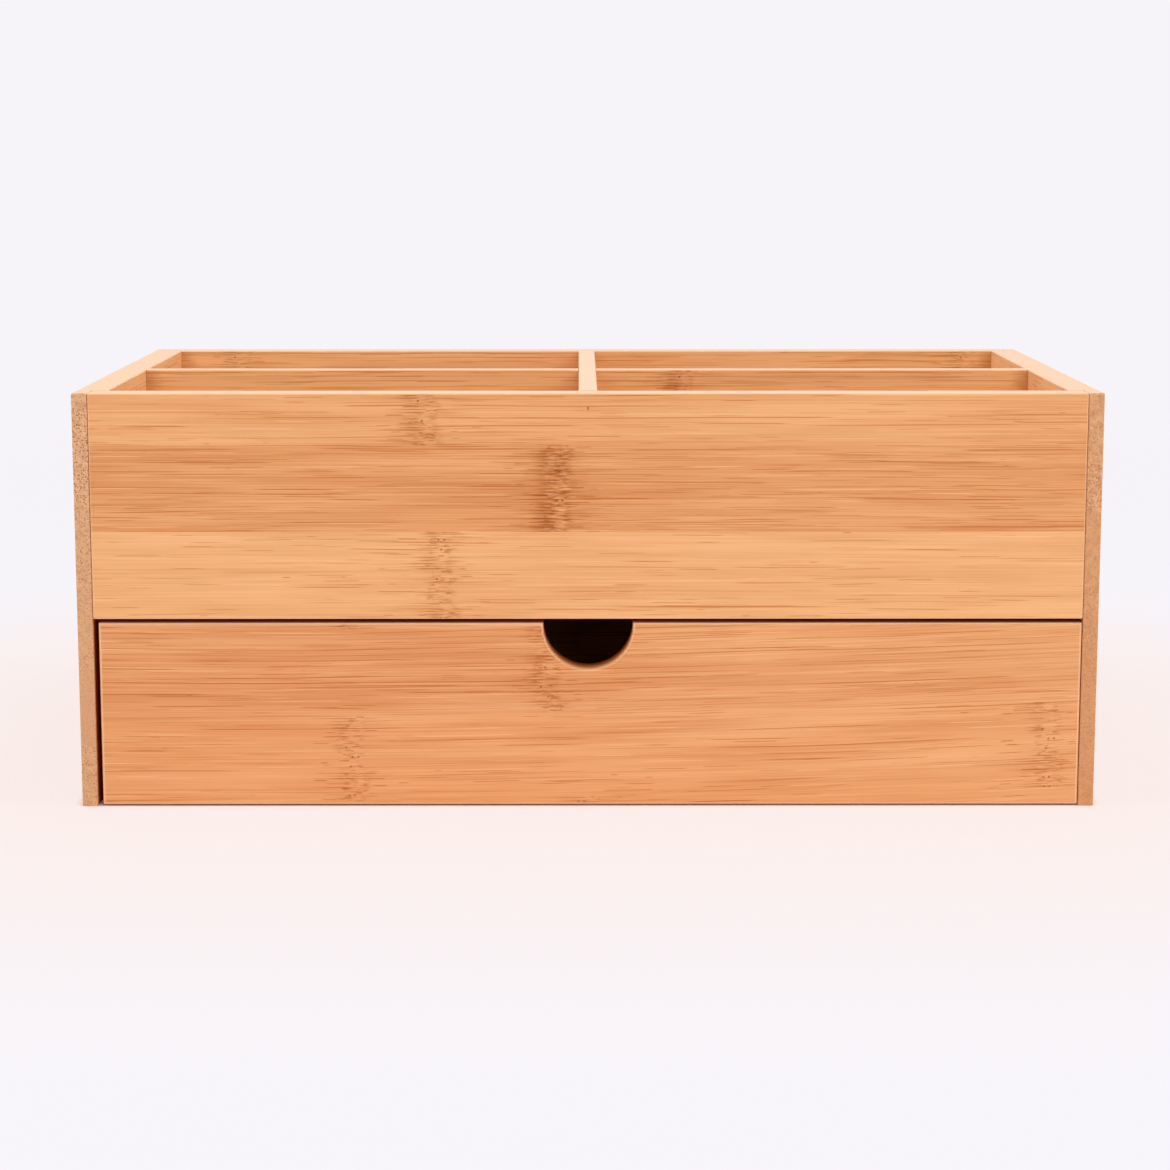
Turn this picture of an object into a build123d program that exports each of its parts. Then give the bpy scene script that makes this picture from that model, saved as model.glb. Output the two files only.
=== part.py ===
from build123d import *
import os

# Bamboo storage box with four open compartments above one drawer.
# Sizes are in millimetres. The box stands on z = 0 with its front towards -Y, and the origin is the
# middle of its base. It is modelled with the drawer closed.

# Overall size of the case
case_width = 341.0
case_depth = 195.0
case_height = 139.5

# Stock thicknesses
board = 10.0  # upper front, back and drawer front
side_board = 10.5
slat = 6.3  # dividers, drawer sides and drawer back
panel = 3.0  # tray floor, case bottom and drawer bottom

# Joints of the case
lip = 5.2  # part of a side board that covers the ends of the upper front and the back
groove_depth = 4.0
tray_floor_rise = 5.0  # from the upper front's lower edge up to the tray floor
case_bottom_rise = 5.0  # from the ground up to the case bottom
glue_line = 0.1  # between two glued faces
panel_play = 0.1  # round a panel in its groove

# Drawer opening
opening_height = 64.0
drawer_left_gap = 1.8  # the drawer stands a little right of the middle
drawer_right_gap = 0.2
drawer_lift = 0.5  # under the drawer front
drawer_top_gap = 1.4  # above the drawer front
drawer_end_gap = 2.0  # behind the closed drawer
running_gap = 0.2  # under the drawer sides, which slide on the case bottom

# Drawer box
rim_drop = 3.0  # the drawer sides end this far below the top of the drawer front
housing_depth = 5.0  # how far the drawer sides sit in the drawer front
drawer_groove_depth = 3.0
drawer_floor_rise = 4.0
notch_radius = 15.0
notch_drop = 0.6  # the notch's centre is this far below the top of the drawer front

# Eased edges
case_ease = 0.6  # outside of the case
drawer_front_ease = 1.0  # face of the drawer front
inner_ease = 0.5  # inner rims, dividers and drawer box
seam_ease = 0.5  # where the upper front and the back meet the side boards

# Headless steel pins of flat wire
pin_width = 1.0
pin_thickness = 0.6
pin_length = 18.0
pin_point = 1.5
pin_sink = 0.6
pin_play = 0.02  # round a pin in its hole
pin_margin = 14.0  # from a board's edge to the nearest pin
cross_pin_drop = 5.0  # the pins in the cross divider sit this far below the rim
back_pin_count = 4
drawer_pin_margin = 9.0
bottom_pin_pitch = 100.0
bottom_pin_count = 3

# Faces of the case
outer_x = case_width / 2
inner_x = outer_x - side_board
lip_x = outer_x - lip
front_y = -case_depth / 2
back_y = case_depth / 2
inner_front_y = front_y + board
inner_back_y = back_y - board
inner_depth = inner_back_y - inner_front_y
cover_half = lip_x - glue_line  # half the length of the upper front and the back

# Floor panels of the case
groove_height = panel + 2 * panel_play
tray_floor_z = opening_height + tray_floor_rise
tray_top_z = tray_floor_z + panel
case_bottom_z = case_bottom_rise
case_bottom_top_z = case_bottom_z + panel
floor_half = inner_x + groove_depth - panel_play
floor_front_y = inner_front_y - groove_depth + panel_play
floor_back_y = inner_back_y + groove_depth - panel_play

# Dividers, which cross in halved slots
divider_z = tray_top_z + glue_line
divider_height = case_height - divider_z
lap_z = divider_z + divider_height / 2
lap_width = slat + 2 * glue_line

# Drawer: widths are halves, from its own middle line at drawer_x
drawer_play = (drawer_left_gap + drawer_right_gap) / 2
drawer_x = (drawer_left_gap - drawer_right_gap) / 2
drawer_front_half = lip_x - drawer_play
drawer_front_z = drawer_lift
drawer_front_top_z = opening_height - drawer_top_gap
drawer_box_half = inner_x - drawer_play
drawer_inner_half = drawer_box_half - slat
drawer_base_z = case_bottom_top_z + running_gap
drawer_rim_z = drawer_front_top_z - rim_drop
drawer_bottom_z = drawer_base_z + drawer_floor_rise
drawer_bottom_top_z = drawer_bottom_z + panel
drawer_back_y = inner_back_y - drawer_end_gap
drawer_side_front_y = inner_front_y - housing_depth + glue_line
drawer_bottom_front_y = inner_front_y - drawer_groove_depth + panel_play
notch_z = drawer_front_top_z - notch_drop


def pin_seat(point, outwards):
    """Where a pin is driven: its head end at a point on a face, and the direction out of that face."""
    return Plane(origin=point, z_dir=outwards).location


def side_seats(x, y, heights, middle=0.0):
    """Pin seats on a left and a right face, at x each side of the middle."""
    return [pin_seat((middle + sign * x, y, z), (sign, 0, 0)) for z in heights for sign in (-1, 1)]


def spread(low, high, count):
    """Evenly spaced values from low to high."""
    return [low + (high - low) * i / (count - 1) for i in range(count)]


upper_front_seats = side_seats(
    outer_x, front_y + board / 2, (tray_top_z + pin_margin, case_height - pin_margin)
)
back_seats = side_seats(
    outer_x, back_y - board / 2, spread(pin_margin, case_height - pin_margin, back_pin_count)
)
long_divider_seats = side_seats(outer_x, 0, (divider_z + pin_margin, case_height - pin_margin))
cross_divider_seats = [
    pin_seat((0, front_y, case_height - cross_pin_drop), (0, -1, 0)),
    pin_seat((0, back_y, case_height - cross_pin_drop), (0, 1, 0)),
]
drawer_front_seats = side_seats(
    drawer_front_half,
    inner_front_y - housing_depth / 2,
    (drawer_bottom_top_z + drawer_pin_margin, drawer_rim_z - drawer_pin_margin),
    drawer_x,
)
drawer_back_seats = side_seats(
    drawer_box_half,
    drawer_back_y - slat / 2,
    (drawer_bottom_top_z + drawer_pin_margin, drawer_rim_z - drawer_pin_margin),
    drawer_x,
)
bottom_pin_reach = bottom_pin_pitch * (bottom_pin_count - 1) / 2
drawer_bottom_seats = [
    pin_seat((drawer_x + x, drawer_back_y - slat / 2, drawer_bottom_z), (0, 0, -1))
    for x in spread(-bottom_pin_reach, bottom_pin_reach, bottom_pin_count)
]

# One pin, driven down from z = 0 and sunk below it, with a chisel point. Its width ends up vertical in the
# boards and along the drawer back.
with BuildPart() as pin:
    with BuildSketch(Plane.XZ):
        with BuildLine():
            Polyline(
                (-pin_width / 2, -pin_sink),
                (pin_width / 2, -pin_sink),
                (pin_width / 2, -pin_sink - pin_length + pin_point),
                (0, -pin_sink - pin_length),
                (-pin_width / 2, -pin_sink - pin_length + pin_point),
                close=True,
            )
        make_face()
    extrude(amount=pin_thickness / 2, both=True)

# The hole that a pin makes, open at the face that it is driven into
with BuildPart() as pin_hole:
    with BuildSketch():
        Rectangle(pin_width + 2 * pin_play, pin_thickness + 2 * pin_play)
    extrude(amount=-pin_sink - pin_length - pin_play)

# Side boards: stepped at both ends for the upper front, the drawer front and the back
with BuildPart() as right_side:
    with BuildSketch():
        with BuildLine():
            Polyline(
                (inner_x, inner_front_y),
                (lip_x, inner_front_y),
                (lip_x, front_y),
                (outer_x, front_y),
                (outer_x, back_y),
                (lip_x, back_y),
                (lip_x, inner_back_y),
                (inner_x, inner_back_y),
                close=True,
            )
        make_face()
    extrude(amount=case_height)
    with BuildSketch(Plane.YZ.offset(inner_x)):
        with Locations((0, tray_floor_z + panel / 2), (0, case_bottom_z + panel / 2)):
            Rectangle(inner_depth, groove_height)
    extrude(amount=groove_depth, mode=Mode.SUBTRACT)
    outer_edges = right_side.faces().sort_by(Axis.X)[-1].edges()
    rim_edges = right_side.faces().sort_by(Axis.Z)[-1].edges()
    lip_rims = rim_edges.filter_by(Axis.X).group_by(Axis.Y)
    fillet(outer_edges + lip_rims[0] + lip_rims[-1], case_ease)
    inner_rim = right_side.faces().sort_by(Axis.Z)[-1].edges().filter_by(Axis.Y).sort_by(Axis.X)[0]
    fillet(inner_rim, inner_ease)
    upright_edges = right_side.edges().filter_by(Axis.Z)
    seam_edges = upright_edges.group_by(Axis.Y)[0] + upright_edges.group_by(Axis.Y)[-1]
    fillet(seam_edges.filter_by_position(Axis.X, lip_x, lip_x), seam_ease)
    with Locations(*upper_front_seats, *back_seats, *long_divider_seats):
        add(pin_hole.part, mode=Mode.SUBTRACT)

with BuildPart() as left_side:
    mirror(right_side.part, about=Plane.YZ)

# Upper front: covers the compartments and is grooved for the tray floor
with BuildPart() as upper_front:
    with BuildSketch(Plane.XZ.offset(-front_y)):
        with Locations((0, (opening_height + case_height) / 2)):
            Rectangle(2 * cover_half, case_height - opening_height)
    extrude(amount=-board)
    with BuildSketch(Plane.XZ.offset(-inner_front_y)):
        with Locations((0, tray_floor_z + panel / 2)):
            Rectangle(2 * cover_half, groove_height)
    extrude(amount=groove_depth, mode=Mode.SUBTRACT)
    long_edges = upper_front.edges().filter_by(Axis.X)
    front_edges = long_edges.group_by(Axis.Y)[0]
    fillet(front_edges.sort_by(Axis.Z)[-1], case_ease)
    fillet(upper_front.edges().filter_by(Axis.X).group_by(Axis.Z)[0].sort_by(Axis.Y)[0], inner_ease)
    fillet(upper_front.edges().filter_by(Axis.X).group_by(Axis.Z)[-1].sort_by(Axis.Y)[-1], inner_ease)
    fillet(upper_front.edges().filter_by(Axis.Z).group_by(Axis.Y)[0], seam_ease)
    with Locations(*upper_front_seats, *cross_divider_seats):
        add(pin_hole.part, mode=Mode.SUBTRACT)

# Back: full height, grooved for the tray floor and the case bottom
with BuildPart() as back:
    with BuildSketch(Plane.XZ.offset(-inner_back_y)):
        with Locations((0, case_height / 2)):
            Rectangle(2 * cover_half, case_height)
    extrude(amount=-board)
    with BuildSketch(Plane.XZ.offset(-inner_back_y)):
        with Locations((0, tray_floor_z + panel / 2), (0, case_bottom_z + panel / 2)):
            Rectangle(2 * cover_half, groove_height)
    extrude(amount=-groove_depth, mode=Mode.SUBTRACT)
    outer_face = back.faces().sort_by(Axis.Y)[-1]
    fillet(outer_face.edges().filter_by(Axis.X), case_ease)
    fillet(back.edges().filter_by(Axis.X).group_by(Axis.Z)[-1].sort_by(Axis.Y)[0], inner_ease)
    fillet(back.edges().filter_by(Axis.Z).group_by(Axis.Y)[-1], seam_ease)
    with Locations(*back_seats, *cross_divider_seats):
        add(pin_hole.part, mode=Mode.SUBTRACT)

# Tray floor: held in grooves on all four sides
with BuildPart() as tray_floor:
    with BuildSketch(Plane.XY.offset(tray_floor_z)):
        Rectangle(2 * floor_half, floor_back_y - floor_front_y)
    extrude(amount=panel)

# Case bottom: held in grooves on three sides, its front edge behind the drawer front
with BuildPart() as case_bottom:
    with BuildSketch(Plane.XY.offset(case_bottom_z)):
        with Locations((0, (inner_front_y + panel_play + floor_back_y) / 2)):
            Rectangle(2 * floor_half, floor_back_y - inner_front_y - panel_play)
    extrude(amount=panel)

# Long divider: slotted from the top at its middle, where the cross divider drops in
with BuildPart() as long_divider:
    with BuildSketch(Plane.XZ.offset(-slat / 2)):
        with Locations((0, divider_z + divider_height / 2)):
            Rectangle(2 * (inner_x - glue_line), divider_height)
    extrude(amount=slat)
    fillet(long_divider.faces().sort_by(Axis.Z)[-1].edges().filter_by(Axis.X), inner_ease)
    with BuildSketch(Plane.XY.offset(case_height)):
        Rectangle(lap_width, slat)
    extrude(amount=lap_z - case_height, mode=Mode.SUBTRACT)
    with Locations(*long_divider_seats):
        add(pin_hole.part, mode=Mode.SUBTRACT)

# Cross divider: slotted from below, so that its top edge runs on unbroken
with BuildPart() as cross_divider:
    with BuildSketch(Plane.YZ.offset(-slat / 2)):
        with Locations((0, divider_z + divider_height / 2)):
            Rectangle(inner_depth - 2 * glue_line, divider_height)
    extrude(amount=slat)
    fillet(cross_divider.faces().sort_by(Axis.Z)[-1].edges().filter_by(Axis.Y), inner_ease)
    with BuildSketch(Plane.XY.offset(divider_z)):
        Rectangle(slat, lap_width)
    extrude(amount=lap_z + glue_line - divider_z, mode=Mode.SUBTRACT)
    with Locations(*cross_divider_seats):
        add(pin_hole.part, mode=Mode.SUBTRACT)

# Drawer front: finger notch in its top edge, housings for the drawer sides and a groove for the bottom
with BuildPart() as drawer_front:
    with BuildSketch(Plane.XZ.offset(-front_y)):
        with Locations((drawer_x, (drawer_front_z + drawer_front_top_z) / 2)):
            Rectangle(2 * drawer_front_half, drawer_front_top_z - drawer_front_z)
        with Locations((0, notch_z)):
            Circle(notch_radius, mode=Mode.SUBTRACT)
    extrude(amount=-board)
    fillet(drawer_front.faces().sort_by(Axis.Y)[0].edges(), drawer_front_ease)
    back_edges = drawer_front.faces().sort_by(Axis.Y)[-1].edges()
    notch_edges = back_edges.filter_by(GeomType.CIRCLE)
    fillet(notch_edges + back_edges.group_by(Axis.Z)[-1], inner_ease)
    with BuildSketch(Plane.XZ.offset(-inner_front_y)):
        with Locations((drawer_x, (drawer_base_z + drawer_rim_z) / 2)):
            with GridLocations(2 * drawer_box_half - slat, 0, 2, 1):
                Rectangle(slat + 2 * glue_line, drawer_rim_z - drawer_base_z + 2 * glue_line)
    extrude(amount=housing_depth, mode=Mode.SUBTRACT)
    with BuildSketch(Plane.XZ.offset(-inner_front_y)):
        with Locations((drawer_x, drawer_bottom_z + panel / 2)):
            Rectangle(2 * drawer_inner_half, groove_height)
    extrude(amount=drawer_groove_depth, mode=Mode.SUBTRACT)
    with Locations(*drawer_front_seats):
        add(pin_hole.part, mode=Mode.SUBTRACT)

# Drawer sides: grooved along their whole length for the drawer bottom
with BuildPart() as drawer_right_side:
    with BuildSketch(Plane.XZ.offset(-drawer_side_front_y)):
        with Locations((drawer_x + drawer_box_half - slat / 2, (drawer_base_z + drawer_rim_z) / 2)):
            Rectangle(slat, drawer_rim_z - drawer_base_z)
    extrude(amount=drawer_side_front_y - drawer_back_y)
    fillet(drawer_right_side.faces().sort_by(Axis.Z)[-1].edges().filter_by(Axis.Y), inner_ease)
    with BuildSketch(Plane.YZ.offset(drawer_x + drawer_inner_half)):
        with Locations(((drawer_side_front_y + drawer_back_y) / 2, drawer_bottom_z + panel / 2)):
            Rectangle(drawer_back_y - drawer_side_front_y, groove_height)
    extrude(amount=drawer_groove_depth, mode=Mode.SUBTRACT)
    with Locations(*drawer_front_seats, *drawer_back_seats):
        add(pin_hole.part, mode=Mode.SUBTRACT)

with BuildPart() as drawer_left_side:
    mirror(drawer_right_side.part, about=Plane.YZ.offset(drawer_x))

# Drawer back: between the sides, standing on the drawer bottom
with BuildPart() as drawer_back:
    with BuildSketch(Plane.XY.offset(drawer_bottom_top_z + glue_line)):
        with Locations((drawer_x, drawer_back_y - slat / 2)):
            Rectangle(2 * (drawer_inner_half - glue_line), slat)
    extrude(amount=drawer_rim_z - drawer_bottom_top_z - glue_line)
    fillet(drawer_back.faces().sort_by(Axis.Z)[-1].edges().filter_by(Axis.X), inner_ease)
    with Locations(*drawer_back_seats, *drawer_bottom_seats):
        add(pin_hole.part, mode=Mode.SUBTRACT)

# Drawer bottom: slid in from behind, under the drawer back
with BuildPart() as drawer_bottom:
    with BuildSketch(Plane.XY.offset(drawer_bottom_z)):
        with Locations((drawer_x, (drawer_bottom_front_y + drawer_back_y) / 2)):
            Rectangle(
                2 * (drawer_inner_half + drawer_groove_depth - panel_play),
                drawer_back_y - drawer_bottom_front_y,
            )
    extrude(amount=panel)
    with Locations(*drawer_bottom_seats):
        add(pin_hole.part, mode=Mode.SUBTRACT)

# Pins, one group for each joint that they hold
pin_groups = {
    "upper_front_pins": upper_front_seats,
    "back_pins": back_seats,
    "long_divider_pins": long_divider_seats,
    "cross_divider_pins": cross_divider_seats,
    "drawer_front_pins": drawer_front_seats,
    "drawer_back_pins": drawer_back_seats,
    "drawer_bottom_pins": drawer_bottom_seats,
}
pieces = {
    "right_side": right_side,
    "left_side": left_side,
    "upper_front": upper_front,
    "back": back,
    "tray_floor": tray_floor,
    "case_bottom": case_bottom,
    "long_divider": long_divider,
    "cross_divider": cross_divider,
    "drawer_front": drawer_front,
    "drawer_right_side": drawer_right_side,
    "drawer_left_side": drawer_left_side,
    "drawer_back": drawer_back,
    "drawer_bottom": drawer_bottom,
}
for name, seats in pin_groups.items():
    with BuildPart() as pins:
        with Locations(*seats):
            add(pin.part)
    pieces[name] = pins

os.makedirs("parts", exist_ok=True)
for name, piece in pieces.items():
    piece.part.label = name
    export_step(piece.part, f"parts/{name}.step")
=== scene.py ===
import math
import random
from collections import namedtuple

import bpy
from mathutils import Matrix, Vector


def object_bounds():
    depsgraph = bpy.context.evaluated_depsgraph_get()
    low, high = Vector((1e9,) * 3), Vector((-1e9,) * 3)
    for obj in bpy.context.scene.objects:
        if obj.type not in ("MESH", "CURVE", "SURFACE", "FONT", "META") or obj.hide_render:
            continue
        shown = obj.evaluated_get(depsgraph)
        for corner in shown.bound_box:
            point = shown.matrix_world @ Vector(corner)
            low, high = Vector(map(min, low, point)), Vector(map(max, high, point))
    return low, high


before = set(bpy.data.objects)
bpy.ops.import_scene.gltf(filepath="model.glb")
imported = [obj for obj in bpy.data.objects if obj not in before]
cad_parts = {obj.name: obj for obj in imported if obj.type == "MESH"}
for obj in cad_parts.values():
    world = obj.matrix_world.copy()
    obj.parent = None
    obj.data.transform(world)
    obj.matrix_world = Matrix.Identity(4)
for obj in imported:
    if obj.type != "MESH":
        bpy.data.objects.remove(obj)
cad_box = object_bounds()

# A bamboo storage box: four compartments above one drawer. Blender works in metres. A grain pattern works
# in millimetres: X runs along the grain, Y through the board and Z across the strips it is glued from.
PER_METRE = 1000.0
MM = 1 / PER_METRE
BOX_LOW, BOX_HIGH = [Vector(corner) for corner in cad_box]

# Camera, fitted to the edges of the box in the photograph: its place in metres, its angles in degrees
FOCAL_PX = 2790.9
FRAME_PX = 1170
SENSOR_MM = 36.0
CAMERA_PLACE = (-0.00328, -1.0155, 0.2226)
CAMERA_PITCH = 9.104
CAMERA_YAW = 0.140

# Turns that bring a board's axes to the grain's: for a board along X, a board along Y and a flat panel
ALONG_X = (0.0, 0.0, 0.0)
ALONG_Y = (0.0, 0.0, -math.pi / 2)
LYING = (-math.pi / 2, 0.0, 0.0)

# The fibres of the drawer front climb to the right, and bend a little
FRONT_TURN = (0.0, math.radians(1.19), 0.0)
FRONT_BEND = 7.4e-5

# Recesses at the front that get painted shade: the finger notch and the top edge of the drawer front, the
# lower edge of the board above it, and the step in the left side board, seen in the gap beside the drawer
# front
NOTCH_HEIGHT = 62.0 * MM
NOTCH_RADIUS = 15.0 * MM
DRAWER_TOP = 62.6 * MM
UPPER_LOW = 64.0 * MM
LIP_INSIDE = 165.3 * MM
FRONT_BOARD = 10.0 * MM
FRONT_ROUNDING = 1.2 * MM

# Where strips begin and end, in millimetres from the base of the box or from the middle of a flat panel
RIM_LEVEL = 140.0
TRAY_LEVEL = 72.0
DRAWER_LEVEL = 60.0
DRAWER_SIDE_LEVEL = 8.0
DRAWER_BACK_LEVEL = 15.0
DRAWER_FRONT_LEVEL = -6.0
PANEL_REACH = 95.0

# How far from a long board's middle the side boards meet it
CORNER_PLACE = 160.0


def paint(red, green, blue):
    """A colour given as it looks on the screen, 0 to 255, as linear light with alpha."""
    def channel(value):
        c = value / 255
        return c / 12.92 if c <= 0.04045 else ((c + 0.055) / 1.055) ** 2.4
    return channel(red), channel(green), channel(blue), 1.0


HONEY = paint(234, 169, 113)
STRAW = paint(239, 179, 124)
AMBER = paint(226, 157, 101)
PEACH = paint(232, 162, 107)
RUSSET = paint(226, 155, 101)
GOLD = paint(244, 186, 124)
# WHEAT_AND_SHEEN and BLUSH_AND_SHEEN are wood tones made paler, as painted light and sheen on the upper
# compartment walls
WHEAT_AND_SHEEN = paint(248, 194, 134)
BLUSH_AND_SHEEN = paint(254, 204, 148)
# CREAM and SANDED_AND_HIGHLIGHT colour the faces that look up or down, partly as paler edge grain and partly
# as painted sheen, and give the painted highlight on rounded rims
CREAM = paint(243, 206, 166)
SANDED_AND_HIGHLIGHT = paint(243, 198, 155)
PALE_FIBRE = paint(252, 202, 150)
END_TAN = paint(209, 152, 110)
END_ROSE = paint(208, 160, 122)
END_BROWN = paint(204, 146, 102)
END_PALE = paint(240, 194, 152)
PIT_BROWN = paint(148, 84, 34)
BACKDROP = paint(247, 244, 249)
# Painted bounce light: the floor's warm tint near the box
FLOOR_PAINTED_BOUNCE = paint(250, 238, 235)
STEEL_DARK = paint(184, 118, 66)
STEEL_LIGHT = paint(218, 156, 98)

# Colours that darken what they multiply
CLOUD_SHADE = paint(240, 228, 214)
STREAK_SHADE = paint(206, 160, 62)
SCAR_SHADE = paint(198, 154, 82)
DOT_SHADE = paint(196, 146, 98)
# Painted shade in the recesses at the front: the notch, the gaps around the drawer and the lip's step
RECESS_PAINTED_SHADE = paint(195, 115, 6)
# Painted shade in the inside corners of the compartments
CORNER_PAINTED_SHADE = paint(208, 186, 156)

# A strip ends at top (mm across the strips) and starts where the one below it ends. Its culm joints are
# at joints (mm along the grain), and scar says how strong they are. Lines, dashes and dots are the amounts
# of long lines, of short dashes and of dark dots in the end grain. Scar and the amounts go from 0 to 1.
Strip = namedtuple("Strip", "top tone joints scar lines dashes dots", defaults=(0.5, 0.5, 0.3))

# A place along the grain is handed on as its share of the way from -GRAIN_REACH to GRAIN_REACH. Each strip
# has two joints, and one that isn't wanted is put at FAR_OFF, past the end of every board.
GRAIN_REACH = 200.0
FAR_OFF = 190.0

# The strips of the boards that show in the photograph, from the lowest up
STRIPS = {
    "upper_front": [
        Strip(93.3, STRAW, (-49.0,), scar=0.75, lines=0.15, dashes=0.35),
        Strip(122.0, AMBER, (-10.7,), scar=1.0, lines=0.45, dashes=0.8),
        Strip(RIM_LEVEL, HONEY, (-55.0,), scar=0.8, lines=0.7, dashes=0.6),
    ],
    "drawer_front": [
        Strip(3.2, PEACH, (-2.0,), scar=0.6),
        Strip(32.3, PEACH, (-79.0, 155.0), scar=0.7, lines=0.45, dashes=0.25),
        Strip(61.8, RUSSET, (-13.0,), scar=0.75, lines=1.0, dashes=0.4),
        Strip(68.0, RUSSET, (-79.0,), scar=0.7, lines=0.6, dashes=0.8),
    ],
    "left_side": [
        Strip(21.0, STRAW, (-40.0,), scar=0.5, dots=0.6),
        Strip(46.7, PEACH, (30.0,), scar=0.6, dots=0.1),
        Strip(74.5, STRAW, (-70.0,), scar=0.5, dots=0.35),
        Strip(102.0, GOLD, (12.0,), scar=0.6, dots=0.6),
        Strip(134.0, BLUSH_AND_SHEEN, (-25.0,), scar=0.5, dots=1.0),
        Strip(RIM_LEVEL, BLUSH_AND_SHEEN, (-92.0,), scar=0.5, dots=0.5),
    ],
    "right_side": [
        Strip(40.0, HONEY, (50.0,), scar=0.5, dots=0.15),
        Strip(66.0, PEACH, (-35.0,), scar=0.6, dots=0.25),
        Strip(74.0, STRAW, (20.0,), scar=0.5, dots=0.5),
        Strip(100.0, GOLD, (-64.0,), scar=0.5, dots=0.15),
        Strip(116.0, BLUSH_AND_SHEEN, (38.0,), scar=0.6, dots=0.7),
        Strip(RIM_LEVEL, BLUSH_AND_SHEEN, (-18.0,), scar=0.5, lines=0.6, dashes=0.6, dots=0.3),
    ],
    "back": [
        Strip(28.0, HONEY, (-60.0, 130.0), scar=0.6),
        Strip(56.0, STRAW, (20.0,), scar=0.5),
        Strip(83.0, PEACH, (-110.0, 95.0), scar=0.6),
        Strip(112.0, GOLD, (-5.0,), scar=0.5, lines=0.8, dashes=0.7),
        Strip(RIM_LEVEL, WHEAT_AND_SHEEN, (-137.7, 149.0), scar=0.7, lines=0.9, dashes=0.8),
    ],
    "long_divider": [
        Strip(97.0, GOLD, (-95.0, 120.0), scar=0.6),
        Strip(121.0, STRAW, (-20.0,), scar=0.6, lines=0.8, dashes=0.7),
        Strip(RIM_LEVEL, WHEAT_AND_SHEEN, (34.6,), scar=0.9, lines=1.0, dashes=0.9),
    ],
}

# A layer of dashes: their length, the pitch of their rows and their width, in millimetres, then the noise
# above which they show where they are fewest and where they are most, how strong they get, and a shift
# that keeps the layer's random draws apart from the others'
Dashes = namedtuple("Dashes", "length pitch width fewest most depth shift")
LONG_LINES = Dashes(150.0, 1.9, 0.24, fewest=0.66, most=0.42, depth=0.80, shift=3.0)
LONG_DASHES = Dashes(60.0, 1.0, 0.19, fewest=0.70, most=0.46, depth=0.90, shift=71.0)
SHORT_DASHES = Dashes(28.0, 0.6, 0.16, fewest=0.70, most=0.50, depth=0.75, shift=140.0)
JOINT_DASHES = Dashes(10.0, 0.8, 0.22, fewest=0.80, most=0.48, depth=0.80, shift=215.0)
PALE_DASHES = Dashes(45.0, 1.1, 0.24, fewest=0.56, most=0.56, depth=0.45, shift=400.0)

# How a board looks: its turn to the grain, where its lowest strip starts, its strips, how much its fibres
# bend away from the strips' edges (times the square of the distance along), the tone of its edges with their
# painted sheen and highlight, the tone of its ends, how strong the painted highlight on its rounded rims is,
# how far from its middle the side boards meet it in corners darkened by painted shade, how much paler it is
# towards its right end, and the function that gives its painted rim highlight and its painted recess shade
Look = namedtuple(
    "Look", "turn low strips bend edge_tone end_tone rim corner paler marks",
    defaults=(0.0, SANDED_AND_HIGHLIGHT, END_TAN, 0.6, None, 0.0, None)
)


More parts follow.
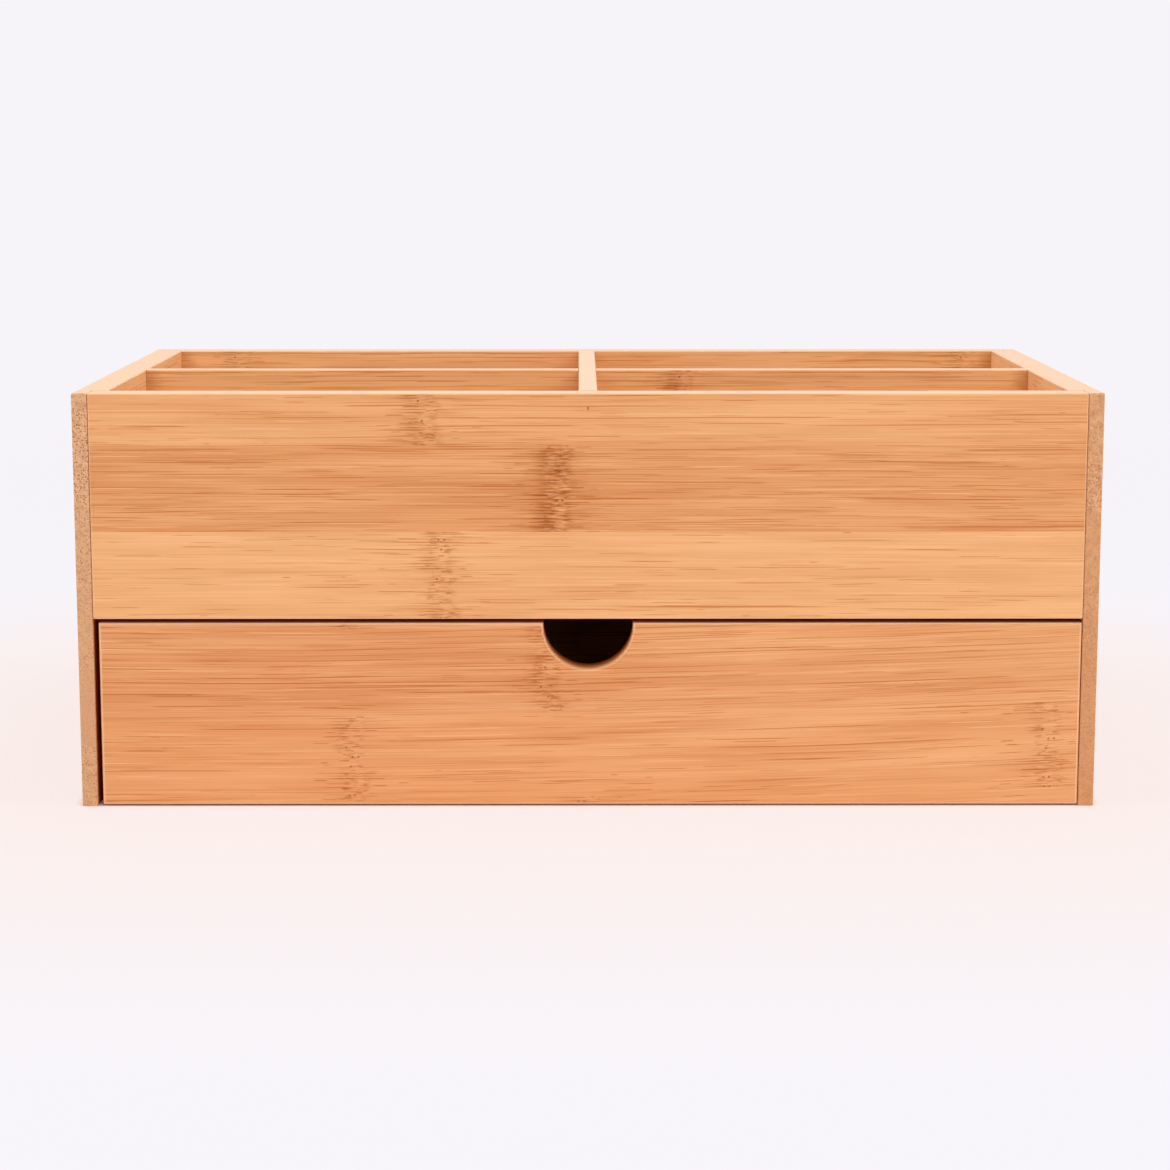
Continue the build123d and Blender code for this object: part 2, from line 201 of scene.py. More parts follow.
class Tree:
    """A node tree being wired. Each method adds nodes and gives the output that is used next."""

    def __init__(self, tree):
        self.tree = tree

    def link(self, source, target):
        self.tree.links.new(source, target)

    def node(self, kind, values=None, **settings):
        """Adds a node, sets its properties, then links or sets its inputs, by name or by number."""
        node = self.tree.nodes.new(kind)
        for key, value in settings.items():
            setattr(node, key, value)
        for key, value in (values or {}).items():
            if isinstance(value, bpy.types.NodeSocket):
                self.link(value, node.inputs[key])
            else:
                node.inputs[key].default_value = value
        return node

    def placed(self, group, values):
        """Uses a node group, and gives its outputs."""
        return self.node("ShaderNodeGroup", values, node_tree=group).outputs

    def math(self, operation, a, b=0.0, c=0.0):
        return self.node("ShaderNodeMath", {0: a, 1: b, 2: c}, operation=operation).outputs[0]

    def total(self, first, *others):
        for other in others:
            first = self.math("ADD", first, other)
        return first

    def product(self, first, *others):
        for other in others:
            first = self.math("MULTIPLY", first, other)
        return first

    def times_plus(self, value, factor, added):
        return self.math("MULTIPLY_ADD", value, factor, added)

    def largest(self, first, *others):
        for other in others:
            first = self.math("MAXIMUM", first, other)
        return first

    def size(self, value):
        return self.math("ABSOLUTE", value)

    def square(self, value):
        return self.math("POWER", value, 2.0)

    def step(self, value, low, high, start=0.0, end=1.0):
        """Goes smoothly from start to end while the value goes from low to high."""
        values = {"Value": value, "From Min": low, "From Max": high, "To Min": start, "To Max": end}
        node = self.node("ShaderNodeMapRange", values, interpolation_type="SMOOTHSTEP")
        return node.outputs["Result"]

    def fall(self, value, low, high, start=1.0):
        """Goes smoothly from start to 0 while the value goes from low to high."""
        return self.step(value, low, high, start, 0.0)

    def within(self, value, centre, full, none):
        """1 nearer to the centre than full, falling to 0 at none."""
        return self.fall(self.size(self.math("SUBTRACT", value, centre)), full, none)

    def mix(self, factor, a, b, blend="MIX"):
        values = {0: factor, 6: a, 7: b}
        return self.node("ShaderNodeMix", values, data_type="RGBA", blend_type=blend).outputs[2]

    def darken(self, factor, colour, shade):
        return self.mix(factor, colour, shade, "MULTIPLY")

    def split(self, vector):
        return self.node("ShaderNodeSeparateXYZ", {0: vector}).outputs

    def join(self, x, y, z):
        return self.node("ShaderNodeCombineXYZ", {0: x, 1: y, 2: z}).outputs[0]

    def chance(self, number, shift):
        """An even draw from 0 to 1 for each whole number. Each use has a shift of its own."""
        moved = self.total(number, shift)
        return self.node("ShaderNodeTexWhiteNoise", {"W": moved}, noise_dimensions="1D").outputs["Value"]

    def noise(self, vector, detail=0.0, roughness=0.5, distortion=0.0):
        values = {
            "Vector": vector, "Scale": 1.0, "Detail": detail, "Roughness": roughness,
            "Distortion": distortion,
        }
        return self.node("ShaderNodeTexNoise", values).outputs["Fac"]

    def noise_along(self, place, detail=0.0, roughness=0.35):
        """Noise along one line."""
        values = {"W": place, "Scale": 1.0, "Detail": detail, "Roughness": roughness}
        return self.node("ShaderNodeTexNoise", values, noise_dimensions="1D").outputs["Fac"]

    def stretched(self, vector, along, across, shift=0.0):
        """Divides X by along, and Y and Z by across, so that one unit is one feature, then shifts them."""
        x, y, z = self.split(vector)
        return self.join(
            self.times_plus(x, 1 / along, shift),
            self.times_plus(y, 1 / across, shift),
            self.times_plus(z, 1 / across, shift),
        )

    def rows(self, place, pitch):
        """Cuts a length into rows: gives the row's number and the place in it, from -0.5 to 0.5."""
        counted = self.math("DIVIDE", place, pitch)
        return self.math("FLOOR", counted), self.math("SUBTRACT", self.math("FRACT", counted), 0.5)


def new_group(name, inputs, outputs):
    """A shader node group with named sockets: gives the group, its tree, and the sockets of its input and
    output nodes."""
    group = bpy.data.node_groups.new(name, "ShaderNodeTree")
    kinds = {"vector": "NodeSocketVector", "value": "NodeSocketFloat", "colour": "NodeSocketColor"}
    for direction, sockets in (("INPUT", inputs), ("OUTPUT", outputs)):
        for socket, kind in sockets.items():
            group.interface.new_socket(socket, in_out=direction, socket_type=kinds[kind])
    tree = Tree(group)
    given = tree.node("NodeGroupInput").outputs
    result = tree.node("NodeGroupOutput").inputs
    return group, tree, given, result


def dash_group():
    """Straight dashes along the grain. The surface is cut into rows of one pitch, and each row has its own
    noise along the grain: where that is above Threshold the row shows a dash, thinner towards its ends."""
    group, tree, given, result = new_group(
        "fibre_dashes",
        {
            "Vector": "vector", "Length": "value", "Pitch": "value", "Width": "value",
            "Threshold": "value", "Shift": "value",
        },
        {"Mask": "value"},
    )
    drift_height, start_spread, softness = 1.8, 971.0, 0.12
    x, _, z = tree.split(given["Vector"])
    drift = tree.noise(tree.stretched(given["Vector"], along=80.0, across=9.0))
    row, place = tree.rows(tree.times_plus(drift, drift_height, z), given["Pitch"])
    chance = tree.chance(row, given["Shift"])
    start = tree.product(chance, start_spread)
    noise = tree.noise_along(tree.total(tree.math("DIVIDE", x, given["Length"]), start), detail=1.0)
    dash = tree.step(noise, given["Threshold"], tree.total(given["Threshold"], softness))
    width = tree.product(tree.times_plus(dash, 0.8, 0.2), given["Width"])
    middle = tree.times_plus(chance, 0.5, -0.25)
    aside = tree.product(tree.math("SUBTRACT", place, middle), given["Pitch"])
    across = tree.within(aside, 0.0, full=tree.product(width, 0.25), none=width)
    depth = tree.times_plus(tree.chance(row, shift=17.5), 0.7, 0.3)
    tree.link(tree.product(across, dash, depth), result["Mask"])
    return group


def joint_strokes(tree, place, wander, z):
    """Dark strokes along the grain from a culm joint, one in a row, of uneven length, more to the left."""
    row, in_row = tree.rows(tree.times_plus(wander, 1.5, z), pitch=0.98)
    reach = tree.square(tree.chance(row, shift=5.0))
    far_end, near_end = tree.times_plus(reach, -16.0, -7.0), tree.times_plus(reach, 3.0, -3.0)
    left = tree.product(tree.step(place, far_end, -2.5), tree.fall(place, near_end, 1.5))
    reach = tree.square(tree.chance(row, shift=55.0))
    far_end = tree.times_plus(reach, 16.0, 6.0)
    right = tree.product(tree.step(place, 3.0, 4.5), tree.fall(place, 4.5, far_end))
    drawn = tree.step(tree.chance(row, shift=105.0), 0.25, 0.60)
    both_sides = tree.times_plus(right, 0.55, left)
    stroke = tree.within(in_row, 0.0, full=0.06, none=0.30)
    return tree.product(both_sides, drawn, stroke, 0.9)


def joint_pits(tree, distance, z):
    """Pairs of pits across a culm joint, or only the left pit, and the pale bar above them. Half of the
    places have none."""
    pair_pitch, pit_aside, bar_height, share = 3.3, 0.95, 0.72, 0.5
    pair, in_pair = tree.rows(z, pair_pitch)
    height = tree.product(in_pair, pair_pitch)
    shifted = tree.times_plus(tree.chance(pair, shift=7.0), 3.0, -1.5)
    sideways = tree.total(distance, shifted)
    outward = tree.size(sideways)
    from_pit = tree.math("SUBTRACT", outward, pit_aside)
    away = tree.math("SQRT", tree.total(tree.square(from_pit), tree.square(height)))
    shown = tree.math("GREATER_THAN", tree.chance(pair, shift=31.0), share)
    both = tree.math("GREATER_THAN", tree.chance(pair, shift=57.0), share)
    on_left = tree.math("LESS_THAN", sideways, 0.0)
    pits = tree.product(tree.fall(away, 0.22, 0.50), shown, tree.largest(both, on_left))
    across = tree.within(height, bar_height, full=0.08, none=0.28)
    bar = tree.product(across, tree.fall(outward, 1.2, 2.2), shown)
    return pits, bar


def joint_stain(tree, place, vector, scar):
    """The brown stain of a strong scar. It spreads to the left, ends sharply on the right and is patchy."""
    patch = tree.noise(tree.stretched(vector, along=7.0, across=4.0, shift=40.0), detail=1.0)
    uneven = tree.times_plus(tree.step(patch, 0.40, 0.62), 0.6, 0.4)
    strong = tree.step(scar, 0.6, 1.0)
    left = tree.total(tree.step(place, -24.0, -8.0, end=0.3), tree.step(place, -10.0, -3.0, end=0.7))
    right = tree.total(tree.fall(place, 3.0, 6.5, start=0.75), tree.fall(place, 6.0, 18.0, start=0.25))
    return tree.product(left, right, strong, uneven)


def culm_joint_group():
    """The scar where a culm was jointed. Dark strokes run out from it along the grain. Across it lie short
    dark and pale marks, pairs of pits under a pale bar, and a brown stain."""
    group, tree, given, result = new_group(
        "culm_joint",
        {"Vector": "vector", "Distance": "value", "Scar": "value"},
        {"Near": "value", "Dark": "value", "Pale": "value", "Pits": "value", "Stain": "value"},
    )
    vector, distance, scar = given["Vector"], given["Distance"], given["Scar"]
    _, _, z = tree.split(vector)
    wander = tree.noise(tree.stretched(vector, along=400.0, across=8.0), detail=1.0)
    place = tree.total(distance, tree.times_plus(wander, 10.0, -5.0))

    core = tree.within(place, 0.0, full=3.0, none=5.4)
    ripple = tree.noise(tree.stretched(vector, along=3.2, across=0.60), detail=2.0, distortion=0.4)
    marks = tree.product(core, tree.step(ripple, 0.53, 0.66), 0.75)
    pale_marks = tree.product(core, tree.fall(ripple, 0.32, 0.42, start=0.7))
    pits, bar = joint_pits(tree, distance, z)

    masks = {
        "Near": tree.within(distance, 0.0, full=4.0, none=26.0),
        "Dark": tree.largest(joint_strokes(tree, place, wander, z), marks),
        "Pale": tree.largest(pale_marks, bar),
        "Pits": pits,
    }
    for name, mask in masks.items():
        tree.link(tree.product(mask, scar), result[name])
    tree.link(joint_stain(tree, place, vector, scar), result["Stain"])
    return group


def end_grain_group():
    """Cut ends of the fibre bundles: small dark and pale dots over a mottled ground."""
    group, tree, given, result = new_group(
        "end_grain",
        {"Vector": "vector", "Dots": "value"},
        {"Dark": "value", "Pale": "value", "Tone": "value"},
    )
    _, y, z = tree.split(given["Vector"])
    flat = tree.join(0.0, y, z)
    amount = tree.times_plus(given["Dots"], 0.8, 0.2)
    for name, pitch, shift in (("Dark", 0.68, 0.0), ("Pale", 0.84, 31.0)):
        place = tree.stretched(flat, along=1.0, across=pitch, shift=shift)
        cells = {"Vector": place, "Scale": 1.0, "Randomness": 0.8}
        away = tree.node("ShaderNodeTexVoronoi", cells).outputs["Distance"]
        tree.link(tree.product(tree.fall(away, 0.20, 0.50), amount), result[name])
    mottled = tree.noise(tree.stretched(flat, along=1.0, across=2.4), detail=3.0, roughness=0.6)
    tree.link(mottled, result["Tone"])
    return group


def cloudy(tree, moved, tone):
    """A strip's tone with soft darker and paler clouds."""
    dark_share, pale_share = 0.65, 0.18
    cloud = tree.noise(tree.stretched(moved, along=60.0, across=4.5), detail=2.0)
    tint = tree.noise(tree.stretched(moved, along=100.0, across=9.0, shift=7.0), detail=1.0)
    colour = tree.darken(tree.fall(cloud, 0.32, 0.68, dark_share), tone, CLOUD_SHADE)
    return tree.mix(tree.step(tint, 0.40, 0.72, end=pale_share), colour, PALE_FIBRE)


def with_fibres(tree, colour, fibre):
    """Draws fine pale and dark fibres on a colour."""
    pale_share, dark_share = 0.30, 0.25
    colour = tree.mix(tree.step(fibre, 0.50, 0.78, end=pale_share), colour, PALE_FIBRE)
    return tree.darken(tree.fall(fibre, 0.22, 0.50, dark_share), colour, STREAK_SHADE)


def from_nearer_joint(tree, x, shares):
    """The distance along the grain from the nearer of a strip's two culm joints."""
    to_first, to_second = [
        tree.math("SUBTRACT", x, tree.times_plus(share, 2 * GRAIN_REACH, -GRAIN_REACH)) for share in shares
    ]
    nearer = tree.math("LESS_THAN", tree.size(to_first), tree.size(to_second))
    values = {0: nearer, 2: to_second, 3: to_first}
    return tree.node("ShaderNodeMix", values, data_type="FLOAT").outputs[0]


def dash_layer(tree, dashes, moved, layer, threshold):
    """The mask of one layer of dashes."""
    values = {
        "Vector": moved, "Length": layer.length, "Pitch": layer.pitch, "Width": layer.width,
        "Threshold": threshold, "Shift": layer.shift,
    }
    return tree.product(tree.placed(dashes, values)["Mask"], layer.depth)


def dark_dashes(tree, dashes, moved, amounts):
    """All dark lines and dashes. There are more where their amount is larger, and fewer in patches."""
    patch = tree.noise(tree.stretched(moved, along=45.0, across=5.0, shift=11.0), detail=1.0)
    sparse = tree.step(patch, 0.32, 0.68, start=0.08, end=-0.06)
    masks = []
    for layer, amount in amounts:
        threshold = tree.total(sparse, tree.times_plus(amount, layer.most - layer.fewest, layer.fewest))
        masks.append(dash_layer(tree, dashes, moved, layer, threshold))
    return tree.largest(*masks)


def with_joint(tree, colour, joint, streak, pale):
    """Lays the stain of a culm joint over a colour, then pale and dark dashes, then the joint's marks."""
    stain_share, pale_share = 0.50, 0.4
    colour = tree.darken(tree.product(joint["Stain"], stain_share), colour, SCAR_SHADE)
    colour = tree.mix(pale, colour, PALE_FIBRE)
    colour = tree.darken(streak, colour, STREAK_SHADE)
    colour = tree.darken(joint["Dark"], colour, SCAR_SHADE)
    colour = tree.mix(tree.product(joint["Pale"], pale_share), colour, PALE_FIBRE)
    return tree.mix(joint["Pits"], colour, PIT_BROWN)


def with_edges(tree, colour, given, fibre, up_down, end_on):
    """Makes the long edges of a board paler, partly as paler edge grain and partly as painted sheen, and
    paints a highlight on the rounded rims along its edges and ends.
    """
    # Painted highlight on the rounded rims, then the edge tone, partly painted sheen, on faces that look up
    # or down
    rounded = tree.largest(tree.step(end_on, 0.1, 0.3), tree.step(up_down, 0.1, 0.4))
    colour = tree.mix(tree.product(rounded, given["Rim"]), colour, given["Edge Tone"])
    fibrous = tree.mix(tree.step(fibre, 0.35, 0.75, end=0.30), given["Edge Tone"], colour)
    return tree.mix(tree.step(up_down, 0.5, 0.95), colour, fibrous)


def with_ends(tree, colour, given, cut, end):
    """Lays end grain over the ends of a board."""
    tone_share, pale_share = 0.35, 0.60
    ground = tree.mix(tree.step(cut["Tone"], 0.3, 0.7, end=tone_share), given["End Tone"], given["Tone"])
    ground = tree.mix(tree.product(cut["Pale"], pale_share), ground, END_PALE)
    return tree.mix(end, colour, tree.darken(cut["Dark"], ground, DOT_SHADE))


def relief(tree, fibre, joint, cut, end):
    """The height of the surface: the fibres are raised, and the dark marks, pits and dots lie lower."""
    fibre_height, mark_height, dot_height = 0.2, -0.6, -0.7
    marks = tree.largest(joint["Dark"], joint["Pits"])
    height = tree.times_plus(marks, mark_height, tree.product(fibre, fibre_height))
    return tree.times_plus(tree.product(cut["Dark"], end), dot_height, height)


def bamboo_group(dashes, culm_joint, end_grain):
    """Glued bamboo: strip tone, clouds, fibres, dashes and culm joints on the faces, dots on the ends. The
    colour Joints holds the places of the two joints and a random draw, Grain the amounts of the strip."""
    group, tree, given, result = new_group(
        "bamboo",
        {
            "Vector": "vector", "Normal": "vector", "Tone": "colour", "Joints": "colour", "Scar": "value",
            "Grain": "colour", "Edge Tone": "colour", "End Tone": "colour", "Rim": "value",
        },
        {"Color": "colour", "Height": "value"},
    )
    x, y, z = tree.split(given["Vector"])
    first, second, phase = tree.split(given["Joints"])
    lines, short, dots = tree.split(given["Grain"])
    moved = tree.join(tree.times_plus(phase, 900.0, x), y, z)

    fibre = tree.noise(tree.stretched(moved, along=75.0, across=0.42, shift=3.0), detail=1.0)
    colour = with_fibres(tree, cloudy(tree, moved, given["Tone"]), fibre)
    distance = from_nearer_joint(tree, x, (first, second))
    joint = tree.placed(culm_joint, {"Vector": moved, "Distance": distance, "Scar": given["Scar"]})
    streak = dark_dashes(tree, dashes, moved, (
        (LONG_LINES, lines), (LONG_DASHES, short), (SHORT_DASHES, short), (JOINT_DASHES, joint["Near"]),
    ))
    pale = dash_layer(tree, dashes, moved, PALE_DASHES, PALE_DASHES.most)
    colour = with_joint(tree, colour, joint, streak, pale)

    normal_x, _, normal_z = tree.split(given["Normal"])
    up_down, end_on = tree.size(normal_z), tree.size(normal_x)
    colour = with_edges(tree, colour, given, fibre, up_down, end_on)
    cut = tree.placed(end_grain, {"Vector": given["Vector"], "Dots": dots})
    begins, full = tree.times_plus(given["Rim"], 1.15, 0.05), tree.times_plus(given["Rim"], 1.1, 0.25)
    end = tree.step(end_on, begins, full)
    tree.link(with_ends(tree, colour, given, cut, end), result["Color"])
    tree.link(relief(tree, fibre, joint, cut, end), result["Height"])
    return group


def painted_corner_shade_group():
    """Painted shade in the inside corners on a board's front face, where other boards meet it. Corner says
    how far that is from the board's middle."""
    group, tree, given, result = new_group(
        "corners", {"Vector": "vector", "Normal": "vector", "Corner": "value"}, {"Mask": "value"}
    )
    darkest = 0.5
    x, _, _ = tree.split(given["Vector"])
    _, normal_y, _ = tree.split(given["Normal"])
    uneven = tree.noise(tree.stretched(given["Vector"], along=8.0, across=0.6), detail=1.0)
    place = tree.total(tree.size(x), tree.times_plus(uneven, 8.0, -4.0))
    near = tree.within(place, given["Corner"], full=0.5, none=7.0)
    front = tree.fall(normal_y, -0.95, -0.7, darkest)
    tree.link(tree.product(near, front), result["Mask"])
    return group


def new_material(name):
    """An empty material: gives the material, its tree and the surface socket of its output."""
    material = bpy.data.materials.new(name)
    material.use_nodes = True
    material.node_tree.nodes.clear()
    tree = Tree(material.node_tree)
    surface = tree.node("ShaderNodeOutputMaterial").inputs["Surface"]
    return material, tree, surface


def strip_ramp(tree, fraction, low, strips, colours):
    """A stepped ramp that gives each strip its own colour, by the place across the board."""
    node = tree.node("ShaderNodeValToRGB", {"Fac": fraction})
    ramp = node.color_ramp
    ramp.interpolation = "CONSTANT"
    height = strips[-1].top - low
    while len(ramp.elements) < len(strips):
        ramp.elements.new(1.0)
    start = low
    for element, strip, colour in zip(ramp.elements, strips, colours):
        element.position = (start - low) / height
        element.color = colour
        start = strip.top
    return node.outputs


def strip_ramps(tree, z, board, seed):
    """Three ramps across a board: the strips' tones, then their joints with the scar as alpha, then their
    amounts of lines, dashes and dots."""
    low, strips = board.low, board.strips
    height = strips[-1].top - low
    fraction = tree.times_plus(z, 1 / height, -low / height)
    draw = random.Random(seed)
    places, amounts = [], []
    for strip in strips:
        joints = (list(strip.joints) + [FAR_OFF, FAR_OFF])[:2]
        first, second = [(joint + GRAIN_REACH) / (2 * GRAIN_REACH) for joint in joints]
        places.append((first, second, draw.random(), strip.scar))
        amounts.append((strip.lines, strip.dashes, strip.dots, 1.0))
    tones = [strip.tone for strip in strips]
    return [strip_ramp(tree, fraction, low, strips, colours) for colours in (tones, places, amounts)]


def drawer_front_highlight_and_shade(tree, place):
    """The rounded edges of the drawer front get a painted highlight, but not those of the notch or the lower
    half of its top one. The notch and the top edge get painted shade, darker towards the back."""
    x, y, z = tree.split(place)
    height = tree.math("SUBTRACT", z, NOTCH_HEIGHT)
    radius = tree.math("SQRT", tree.total(tree.product(x, x), tree.product(height, height)))
    below_top = tree.size(tree.math("SUBTRACT", z, DRAWER_TOP - 0.8 * MM))
    past_notch = NOTCH_RADIUS + FRONT_ROUNDING
    rim = tree.product(
        tree.step(radius, past_notch, past_notch + 0.2 * MM, start=0.3, end=0.65),
        tree.step(below_top, 0.3 * MM, 0.4 * MM),
    )
    # Painted shade in the notch and along the top edge, darker towards the back
    notch = tree.product(
        tree.fall(radius, NOTCH_RADIUS + 0.2 * MM, NOTCH_RADIUS + 0.4 * MM),
        tree.step(y, BOX_LOW.y - 6.0 * MM, BOX_LOW.y + FRONT_BOARD - 1.0 * MM),
    )
    top = tree.product(
        tree.step(z, DRAWER_TOP - 0.3 * MM, DRAWER_TOP - 0.1 * MM),
        tree.step(y, BOX_LOW.y + 0.9 * MM, BOX_LOW.y + 3.0 * MM, end=0.6),
    )
    return rim, tree.largest(notch, top)


def upper_front_highlight_and_shade(tree, place):
    """The board above the drawer gets a painted highlight on its rims, and painted shade on its lower edge
    over the drawer gap.
    """
    rim = 0.6
    _, _, z = tree.split(place)
    return rim, tree.fall(z, UPPER_LOW + 0.02 * MM, UPPER_LOW + 0.1 * MM)


def left_side_painted_shade(tree, place):
    """The left side board has no painted rim highlight. Its step behind the front lip gets painted shade,
    lighter higher up.
    """
    rim = 0.0
    x, y, z = tree.split(place)
    behind_lip = BOX_LOW.y + FRONT_BOARD
    step = tree.product(
        tree.fall(tree.size(x), LIP_INSIDE + 0.1 * MM, LIP_INSIDE + 0.4 * MM),
        tree.fall(y, behind_lip + 0.1 * MM, behind_lip + 0.3 * MM),
        tree.step(y, BOX_LOW.y + 0.5 * MM, BOX_LOW.y + 3.0 * MM),
        tree.fall(z, UPPER_LOW + 40.0 * MM, BOX_HIGH.z),
    )
    return rim, step


def bamboo_material(name, groups, board, seed):
    """Matt bamboo in strips under a satin lacquer, with the grain turned to the board's length. Painted
    shade darkens its inside corners and its recesses where it has them, and the recess shade has no lacquer."""
    material, tree, surface = new_material(name)
    source = tree.node("ShaderNodeTexCoord").outputs
    scale = (PER_METRE, PER_METRE, PER_METRE)
    values = {"Vector": source["Object"], "Rotation": board.turn, "Scale": scale}
    vector = tree.node("ShaderNodeMapping", values).outputs[0]
    values = {"Vector": source["Normal"], "Rotation": board.turn}
    normal = tree.node("ShaderNodeMapping", values, vector_type="VECTOR").outputs[0]
    x, y, z = tree.split(vector)
    tones, joints, amounts = strip_ramps(tree, z, board, seed)
    tone = tones["Color"]
    if board.paler:
        tone = tree.mix(tree.step(x, -GRAIN_REACH, GRAIN_REACH, end=board.paler), tone, STRAW)
    # The marks function gives the painted rim highlight and the painted recess shade (brown)
    rim, brown = board.marks(tree, source["Object"]) if board.marks else (board.rim, None)
    bent = tree.join(x, y, tree.times_plus(tree.product(x, x), -board.bend, z))
    grain = tree.placed(groups["bamboo"], {
        "Vector": bent, "Normal": normal, "Tone": tone, "Joints": joints["Color"],
        "Scar": joints["Alpha"], "Grain": amounts["Color"], "Edge Tone": board.edge_tone,
        "End Tone": board.end_tone, "Rim": rim,
    })
    colour, lacquer = grain["Color"], 1.0
    # Painted shade in the inside corners
    if board.corner:
        values = {"Vector": vector, "Normal": normal, "Corner": board.corner}
        colour = tree.darken(tree.placed(groups["corners"], values)["Mask"], colour, CORNER_PAINTED_SHADE)
    # Painted shade in the recesses; the lacquer is taken off there so that no sheen lifts it
    if brown:
        colour = tree.darken(brown, colour, RECESS_PAINTED_SHADE)
        lacquer = tree.fall(brown, 0.0, 0.3)
    values = {"Height": grain["Height"], "Strength": 0.35, "Distance": 0.15 * MM}
    bump = tree.node("ShaderNodeBump", values).outputs[0]
    shader = tree.node("ShaderNodeBsdfPrincipled", {
        "Base Color": colour, "Roughness": 0.6, "Specular IOR Level": 0.0, "Normal": bump,
        "Coat Weight": lacquer, "Coat Roughness": 0.35, "Coat IOR": 1.25, "Coat Normal": bump,
    })
    tree.link(shader.outputs[0], surface)
    return material


def steel_material():
    """Dull wire, stained to the brown of the wood around it, with fine lines along it."""
    material, tree, surface = new_material("pin_steel")
    source = tree.node("ShaderNodeTexCoord").outputs["Object"]
    lines = tree.noise(tree.stretched(source, along=4.0 * MM, across=0.1 * MM), detail=2.0)
    shader = tree.node("ShaderNodeBsdfPrincipled", {
        "Base Color": tree.mix(lines, STEEL_DARK, STEEL_LIGHT), "Metallic": 1.0,
        "Roughness": tree.times_plus(lines, 0.2, 0.35),
    })
    tree.link(shader.outputs[0], surface)
    return material


def drawn_strips(low, high, seed):
    """Strips of uneven width and tone from low to high, each with one or two culm joints."""
    draw = random.Random(seed)
    narrowest, widest, least_left = 17.0, 30.0, 9.0
    strips, top = [], low
    while top < high:
        top += draw.uniform(narrowest, widest)
        if high - top < least_left:
            top = high
        joint = draw.uniform(-160.0, 60.0)
        joints = (joint, joint + draw.uniform(190.0, 260.0))
        tone = draw.choice((HONEY, STRAW, GOLD, PEACH))
        scar, lines, dashes = draw.uniform(0.35, 0.7), draw.uniform(0.3, 0.9), draw.uniform(0.2, 0.8)
        strips.append(Strip(top, tone, joints, scar, lines, dashes))
    return strips


def board_looks():
    """How every board looks, by the name of its node. The hidden boards have drawn strips."""
    looks = {
        "upper_front": Look(
            ALONG_X, UPPER_LOW * PER_METRE, STRIPS["upper_front"], marks=upper_front_highlight_and_shade
        ),
        "drawer_front": Look(
            FRONT_TURN, DRAWER_FRONT_LEVEL, STRIPS["drawer_front"], FRONT_BEND,
            end_tone=SANDED_AND_HIGHLIGHT, paler=0.4, marks=drawer_front_highlight_and_shade
        ),
        "left_side": Look(ALONG_Y, 0.0, STRIPS["left_side"], end_tone=END_ROSE, marks=left_side_painted_shade),
        "right_side": Look(ALONG_Y, 0.0, STRIPS["right_side"], end_tone=END_BROWN, rim=0.25),
        "back": Look(ALONG_X, 0.0, STRIPS["back"], corner=CORNER_PLACE),
        "long_divider": Look(ALONG_X, TRAY_LEVEL, STRIPS["long_divider"], corner=CORNER_PLACE),
    }
    for seed, (name, turn, low, high, edge_tone) in enumerate((
        ("cross_divider", ALONG_Y, TRAY_LEVEL, RIM_LEVEL, CREAM),
        ("tray_floor", LYING, -PANEL_REACH, PANEL_REACH, SANDED_AND_HIGHLIGHT),
        ("case_bottom", LYING, -PANEL_REACH, PANEL_REACH, SANDED_AND_HIGHLIGHT),
        ("drawer_left_side", ALONG_Y, DRAWER_SIDE_LEVEL, DRAWER_LEVEL, SANDED_AND_HIGHLIGHT),
        ("drawer_right_side", ALONG_Y, DRAWER_SIDE_LEVEL, DRAWER_LEVEL, SANDED_AND_HIGHLIGHT),
        ("drawer_back", ALONG_X, DRAWER_BACK_LEVEL, DRAWER_LEVEL, SANDED_AND_HIGHLIGHT),
        ("drawer_bottom", LYING, -PANEL_REACH, PANEL_REACH, SANDED_AND_HIGHLIGHT),
    ), start=40):
        looks[name] = Look(turn, low, drawn_strips(low, high, seed), edge_tone=edge_tone)
    return looks


def dress(node, material):
    """Puts one material on all of a CAD node's slots."""
    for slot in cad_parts[node].material_slots:
        slot.material = material


def dress_nodes():
    """Gives every CAD node its material: bamboo to the boards, steel to the pins."""
    groups = {
        "bamboo": bamboo_group(dash_group(), culm_joint_group(), end_grain_group()),
        "corners": painted_corner_shade_group(),
    }
    for seed, (name, board) in enumerate(board_looks().items()):
        dress(name, bamboo_material("bamboo_" + name, groups, board, seed))
    steel = steel_material()
    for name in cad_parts:
        if name.endswith("_pins"):
            dress(name, steel)


def background_rays(tree):
    """1 for the rays that show the background: from the camera, and by reflection or through glass."""
    path = tree.node("ShaderNodeLightPath").outputs
    return tree.largest(path["Is Camera Ray"], path["Is Glossy Ray"], path["Is Transmission Ray"])


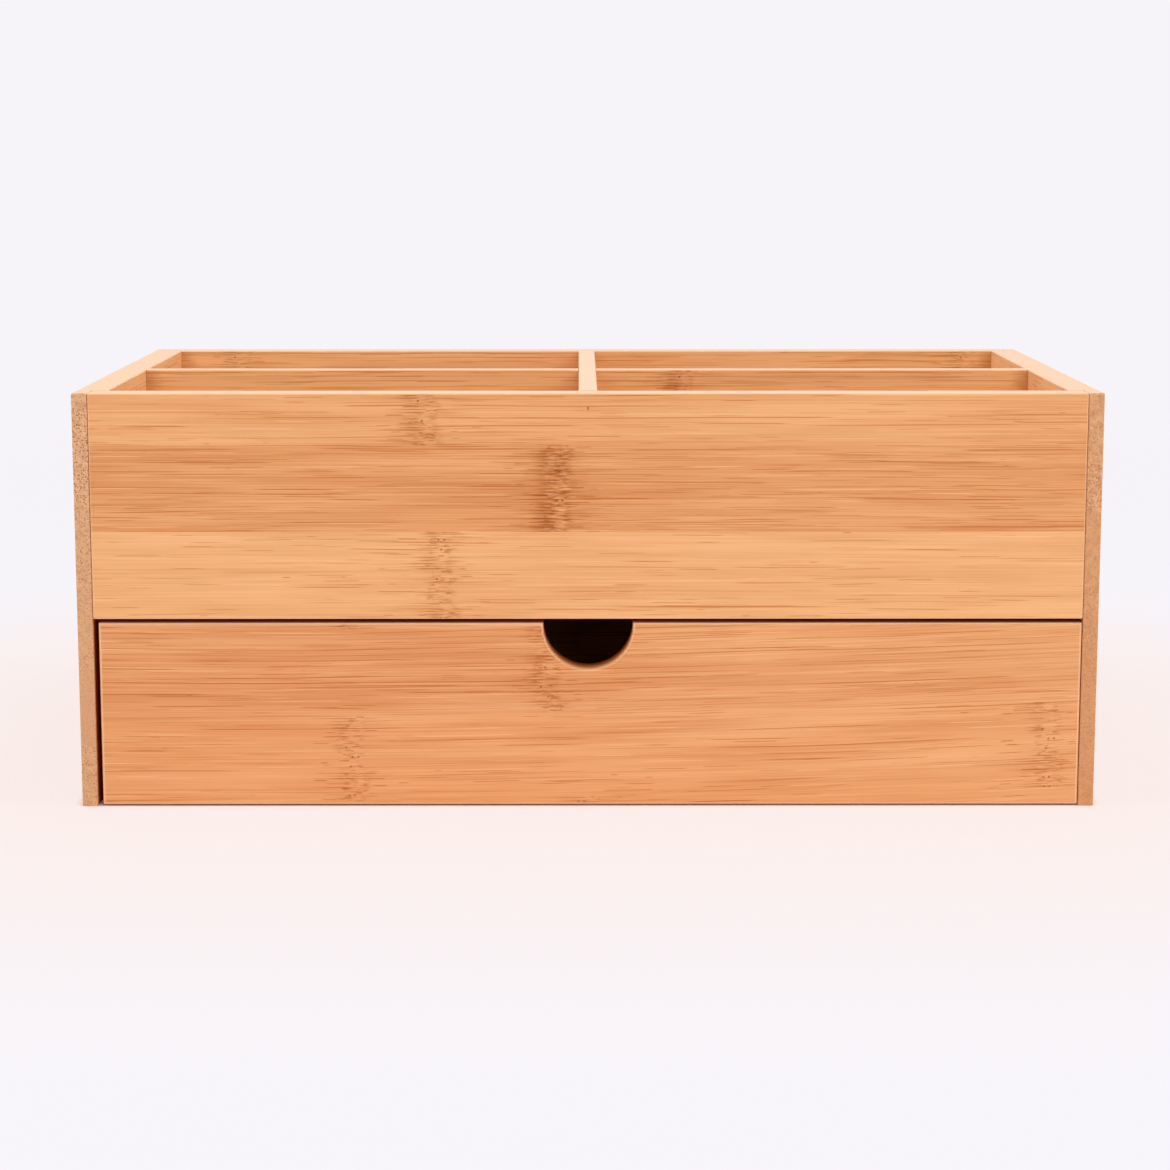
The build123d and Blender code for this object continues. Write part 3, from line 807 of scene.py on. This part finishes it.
def make_floor():
    """A wide pale floor. Near the box it shows some of the box's shadow and a warm tint, painted bounce
    light from the wood, and far off only its own colour.
    """
    half = 60.0
    painted_bounce_reach, contact_reach, shadow_reach, near_glow = 0.30, 0.004, 1.2, 0.88
    mesh = bpy.data.meshes.new("floor")
    corners = [(-half, -half, 0), (half, -half, 0), (half, half, 0), (-half, half, 0)]
    mesh.from_pydata(corners, [], [(0, 1, 2, 3)])
    floor = bpy.data.objects.new("floor", mesh)
    bpy.context.scene.collection.objects.link(floor)
    material, tree, surface = new_material("floor_paper")
    x, y, _ = tree.split(tree.node("ShaderNodeTexCoord").outputs["Object"])
    beside = [
        tree.largest(tree.math("SUBTRACT", tree.size(place), reach), 0.0)
        for place, reach in ((x, BOX_HIGH.x), (y, BOX_HIGH.y))
    ]
    away = tree.math("SQRT", tree.total(*[tree.square(part) for part in beside]))
    # A warm tint near the box: painted bounce light from the wood
    colour = tree.mix(tree.step(away, 0.0, painted_bounce_reach), FLOOR_PAINTED_BOUNCE, BACKDROP)
    diffuse = tree.node("ShaderNodeBsdfDiffuse", {"Color": colour}).outputs[0]
    glow = tree.node("ShaderNodeEmission", {"Color": colour}).outputs[0]
    share = tree.product(
        tree.step(away, 0.0, contact_reach), tree.step(away, 0.0, shadow_reach, start=near_glow)
    )
    seen = tree.product(background_rays(tree), share)
    tree.link(tree.node("ShaderNodeMixShader", {0: seen, 1: diffuse, 2: glow}).outputs[0], surface)
    mesh.materials.append(material)


def make_world():
    """Even soft light from all round, behind which the background shows its own pale colour."""
    world = bpy.data.worlds.new("studio")
    bpy.context.scene.world = world
    world.use_nodes = True
    world.node_tree.nodes.clear()
    tree = Tree(world.node_tree)
    out = tree.node("ShaderNodeOutputWorld").inputs["Surface"]
    light = tree.node("ShaderNodeBackground", {"Color": (1.0, 1.0, 1.0, 1.0), "Strength": 0.59}).outputs[0]
    seen = tree.node("ShaderNodeBackground", {"Color": BACKDROP, "Strength": 1.0}).outputs[0]
    values = {0: background_rays(tree), 1: light, 2: seen}
    tree.link(tree.node("ShaderNodeMixShader", values).outputs[0], out)


def make_lamps():
    """Four large soft lamps that look at the box: one above, one at each side and one in front."""
    middle = (BOX_LOW + BOX_HIGH) / 2
    for name, power, size, place in (
        ("lamp_above", 8.5, 1.6, (0.3, -0.2, 1.9)),
        ("lamp_left", 13.0, 1.0, (-1.7, -0.4, 1.3)),
        ("lamp_right", 10.0, 1.0, (1.7, -0.4, 1.3)),
        ("lamp_front", 7.0, 1.2, (0.6, -2.0, 0.9)),
    ):
        lamp = bpy.data.lights.new(name, "AREA")
        lamp.energy = power
        lamp.shape = "DISK"
        lamp.size = size
        holder = bpy.data.objects.new(name, lamp)
        holder.location = place
        holder.rotation_euler = (middle - holder.location).to_track_quat("-Z", "Y").to_euler()
        bpy.context.scene.collection.objects.link(holder)


def make_camera():
    """The photograph's camera."""
    lens = bpy.data.cameras.new("camera")
    lens.sensor_width = SENSOR_MM
    lens.lens = FOCAL_PX * SENSOR_MM / FRAME_PX
    camera = bpy.data.objects.new("camera", lens)
    camera.location = CAMERA_PLACE
    camera.rotation_euler = (math.radians(90 - CAMERA_PITCH), 0.0, math.radians(-CAMERA_YAW))
    bpy.context.scene.collection.objects.link(camera)
    bpy.context.scene.camera = camera


make_camera()
make_floor()
make_world()
make_lamps()
dress_nodes()
bpy.context.scene.view_settings.view_transform = "Standard"
